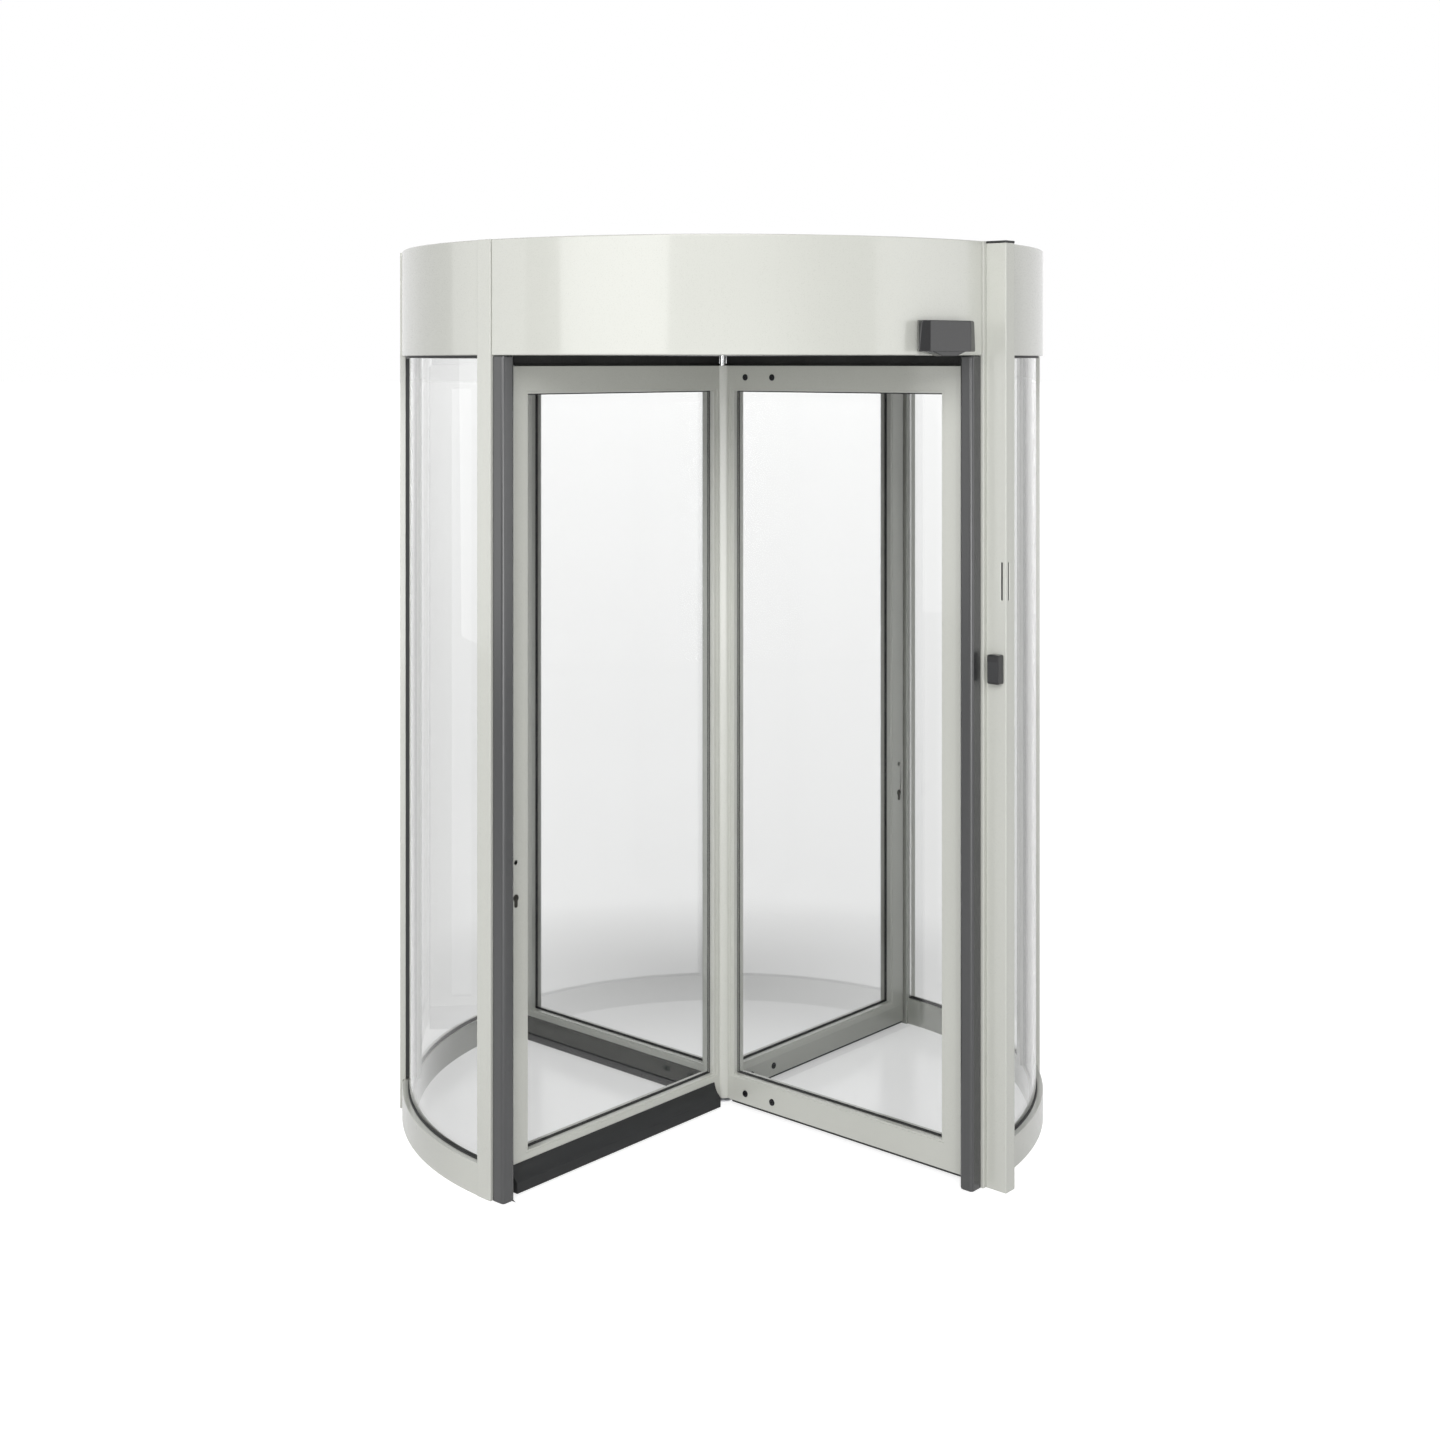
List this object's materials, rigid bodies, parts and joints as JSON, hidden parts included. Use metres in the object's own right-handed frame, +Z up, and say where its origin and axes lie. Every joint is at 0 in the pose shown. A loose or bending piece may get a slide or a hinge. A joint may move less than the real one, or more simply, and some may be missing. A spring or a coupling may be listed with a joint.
{
  "type": "security revolving door",
  "caption": "Round revolving door with curved glass walls, framed glass wings on a slim column, canopy, gear drive, card reader post and motion sensor.",
  "frame": {"origin": "centre of the drum on the floor, under the rotor's axis", "axes": "+Z up along the rotor's axis; the front opening, with the sensor and the reader, faces -Y; +X to the right of someone facing the front opening"},
  "size_m": [1.816, 1.7998, 2.4],
  "materials": {
    "powder_coat": "satin",
    "ceiling_coat": "satin",
    "roof_coat": "satin",
    "wall_glass": "clear",
    "wing_glass": "clear",
    "gasket_rubber": "matte",
    "edge_rubber": "matte",
    "bristle": "matte",
    "dark_plastic": "gloss",
    "shaft_steel": "polished",
    "machined_steel": "machined",
    "frame_steel": "matte",
    "drive_alloy": "cast",
    "box_coat": "satin",
    "screw_steel": "black oxide",
    "lock_brass": "satin nickel",
    "lock_steel": "zinc plated"
  },
  "bodies": {
    "drum": {"floor_bearing": "machined_steel", "skirt_left": "powder_coat", "skirt_right": "powder_coat", "wall_glass_front_left": "wall_glass", "wall_glass_rear_left": "wall_glass", "wall_glass_front_right": "wall_glass", "wall_glass_rear_right": "wall_glass", "wall_gaskets": "gasket_rubber", "post_front_left": "powder_coat", "post_front_right": "powder_coat", "post_rear_left": "powder_coat", "post_rear_right": "powder_coat", "safety_edges": "edge_rubber", "mullion_left": "powder_coat", "mullion_right": "powder_coat", "fascia_front": "powder_coat", "fascia_rear": "powder_coat", "fascia_left": "powder_coat", "fascia_right": "powder_coat", "canopy_frame": "frame_steel", "ceiling_panel": "ceiling_coat", "roof_cover": "roof_coat", "bearing_housing": "machined_steel", "gearmotor": "drive_alloy", "control_box": "box_coat", "strike_sockets": "lock_steel", "locking_solenoid": "box_coat", "reader_post": "powder_coat", "reader_post_cap": "dark_plastic", "slot_insert": "dark_plastic", "card_reader": "dark_plastic", "reader_face": "dark_plastic", "sensor_housing": "dark_plastic", "sensor_lens": "dark_plastic"},
    "rotor": {"centre_column": "powder_coat", "drive_shaft": "shaft_steel", "drive_gear": "machined_steel", "index_disc": "machined_steel", "wing_frame_front_left": "powder_coat", "wing_frame_front_right": "powder_coat", "wing_frame_rear_left": "powder_coat", "wing_frame_rear_right": "powder_coat", "wing_glass_front_left": "wing_glass", "wing_glass_front_right": "wing_glass", "wing_glass_rear_left": "wing_glass", "wing_glass_rear_right": "wing_glass", "wing_beads": "gasket_rubber", "wing_bumpers": "edge_rubber", "wing_brushes": "bristle", "wing_seals": "gasket_rubber", "wing_screws": "screw_steel", "lock_cases": "lock_steel", "lock_cylinders": "lock_brass"},
    "pinion": {"drive_pinion": "machined_steel"},
    "plug_front": {"lock_plug_front": "lock_brass"},
    "plug_rear": {"lock_plug_rear": "lock_brass"},
    "bolt_front": {"shoot_bolt_front": "machined_steel"},
    "bolt_rear": {"shoot_bolt_rear": "machined_steel"},
    "index_bolt": {"locking_bolt": "machined_steel"}
  },
  "joints": [
    {"name": "rotor_spin", "type": "hinge", "parent": "drum", "child": "rotor", "pos_m": [0, 0, 0], "axis": [0, 0, 1], "continuous": true},
    {"name": "pinion_spin", "type": "hinge", "parent": "drum", "child": "pinion", "pos_m": [0.156, 0, 0], "axis": [0, 0, 1], "continuous": true},
    {"name": "plug_front_turn", "type": "hinge", "parent": "rotor", "child": "plug_front", "pos_m": [-0.57636, -0.57636, 0.739], "axis": [0.7071, -0.7071, 0], "range_deg": [0, 360]},
    {"name": "plug_rear_turn", "type": "hinge", "parent": "rotor", "child": "plug_rear", "pos_m": [0.57636, 0.57636, 0.739], "axis": [-0.7071, 0.7071, 0], "range_deg": [0, 360]},
    {"name": "bolt_front_slide", "type": "slide", "parent": "rotor", "child": "bolt_front", "axis": [0, 0, 1], "range_m": [0, 0.04]},
    {"name": "bolt_rear_slide", "type": "slide", "parent": "rotor", "child": "bolt_rear", "axis": [0, 0, 1], "range_m": [0, 0.04]},
    {"name": "index_bolt_slide", "type": "slide", "parent": "drum", "child": "index_bolt", "axis": [1, 0, 0], "range_m": [0, 0.013], "stiffness_N_per_m": 300}
  ],
  "couplings": [
    {"joint": "pinion_spin", "follows": "rotor_spin", "ratio": -3.3333},
    {"joint": "plug_front_turn", "follows": "bolt_front_slide", "rad_per_m": 157.08},
    {"joint": "plug_rear_turn", "follows": "bolt_rear_slide", "rad_per_m": 157.08}
  ]
}
